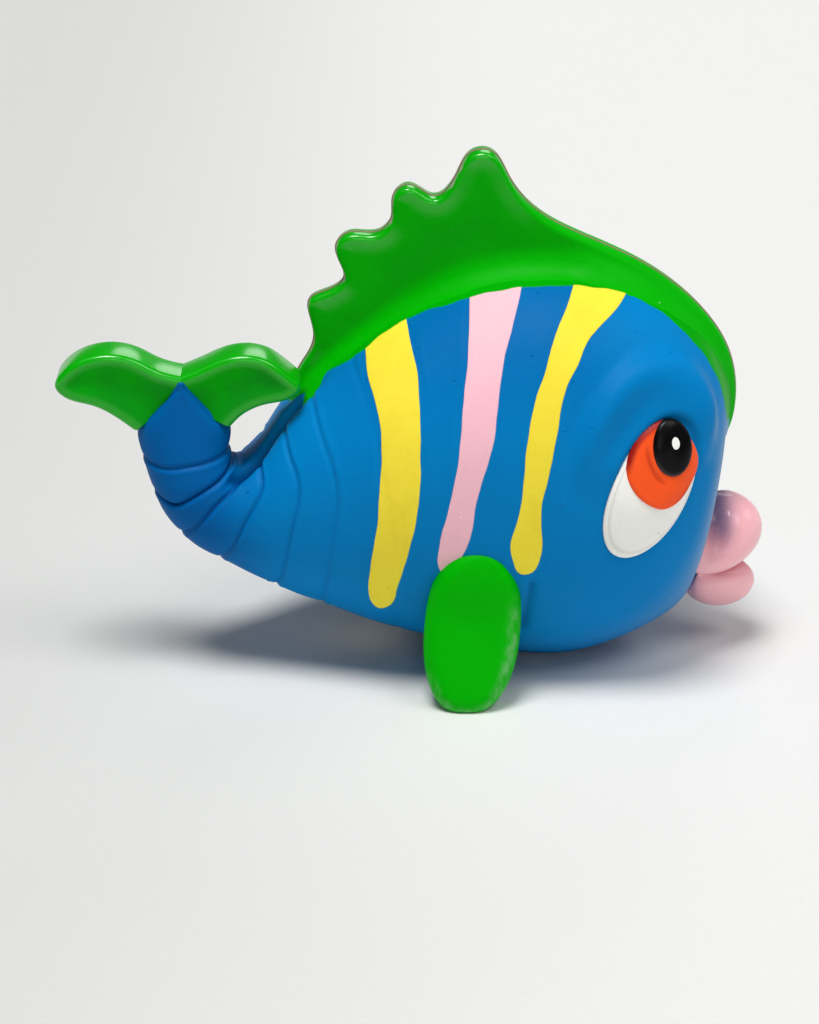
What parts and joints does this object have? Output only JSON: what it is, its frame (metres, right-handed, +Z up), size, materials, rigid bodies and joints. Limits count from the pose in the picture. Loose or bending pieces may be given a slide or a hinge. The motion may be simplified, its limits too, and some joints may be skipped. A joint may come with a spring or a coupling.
{
  "type": "squeaky fish dog toy",
  "caption": "Hollow latex fish toy standing on two pectoral fins and its belly, with a spiky crest, curled two-lobed tail, full lips, raised eyes, squeezable flanks and a reed squeaker inside.",
  "frame": {"origin": "on the floor under the middle of the bounding box", "axes": "+X towards the lips, +Y to the fish's left, +Z up"},
  "size_m": [0.1374, 0.071, 0.1013],
  "materials": {
    "blue_latex": "blue latex with a powdery satin surface",
    "green_latex": "green painted latex, semi-gloss",
    "pink_latex": "pink painted latex, glossy",
    "white_paint": "white paint on latex, satin",
    "orange_paint": "orange paint on latex, semi-gloss",
    "black_paint": "black paint on latex, glossy",
    "white_plastic": "moulded polyethylene",
    "reed_film": "thin stiff film"
  },
  "bodies": {
    "body": {"body_skin": "blue_latex", "crest_fin": "green_latex", "upper_lip": "pink_latex", "lower_lip": "pink_latex", "tail_ring": "blue_latex", "squeaker_cup": "white_plastic", "squeaker_cap": "white_plastic", "reed_tube": "white_plastic", "reed_clip": "white_plastic", "right_eye_white": "white_paint", "right_eye_iris": "orange_paint", "right_eye_pupil": "black_paint", "right_eye_glint": "white_paint", "left_eye_white": "white_paint", "left_eye_iris": "orange_paint", "left_eye_pupil": "black_paint", "left_eye_glint": "white_paint"},
    "right_flank": {"right_flank": "blue_latex", "right_fin_root": "green_latex"},
    "left_flank": {"left_flank": "blue_latex", "left_fin_root": "green_latex"},
    "right_fin": {"right_fin": "green_latex"},
    "left_fin": {"left_fin": "green_latex"},
    "tail": {"tail_stem": "blue_latex", "fluke_front_lobe": "green_latex", "fluke_rear_lobe": "green_latex"},
    "reed": {"reed": "reed_film"}
  },
  "joints": [
    {"name": "right_squeeze", "type": "slide", "parent": "body", "child": "right_flank", "axis": [0, 1, 0], "range_m": [0, 0.005], "stiffness_N_per_m": 1500},
    {"name": "left_squeeze", "type": "slide", "parent": "body", "child": "left_flank", "axis": [0, -1, 0], "range_m": [0, 0.005], "stiffness_N_per_m": 1500},
    {"name": "right_fin_bend", "type": "hinge", "parent": "right_flank", "child": "right_fin", "pos_m": [0.0108, -0.02546, 0.023], "axis": [-1, 0, 0], "range_deg": [-8, 20], "stiffness_Nm_per_rad": 0.5, "deforming": ["right_fin_root"]},
    {"name": "left_fin_bend", "type": "hinge", "parent": "left_flank", "child": "left_fin", "pos_m": [0.0108, 0.02546, 0.023], "axis": [1, 0, 0], "range_deg": [-8, 20], "stiffness_Nm_per_rad": 0.5, "deforming": ["left_fin_root"]},
    {"name": "tail_swing", "type": "hinge", "parent": "body", "child": "tail", "pos_m": [-0.04354, -0.00846, 0.04036], "axis": [1, 0, 0], "range_deg": [0, 20], "stiffness_Nm_per_rad": 0.2, "deforming": ["tail_ring"]},
    {"name": "reed_lift", "type": "hinge", "parent": "body", "child": "reed", "pos_m": [-0.00371, -0.00009, 0.0174], "axis": [0, 1, 0], "range_deg": [0, 4], "stiffness_Nm_per_rad": 0.0002}
  ],
  "couplings": [
    {"joint": "left_squeeze", "follows": "right_squeeze", "ratio": 1}
  ]
}
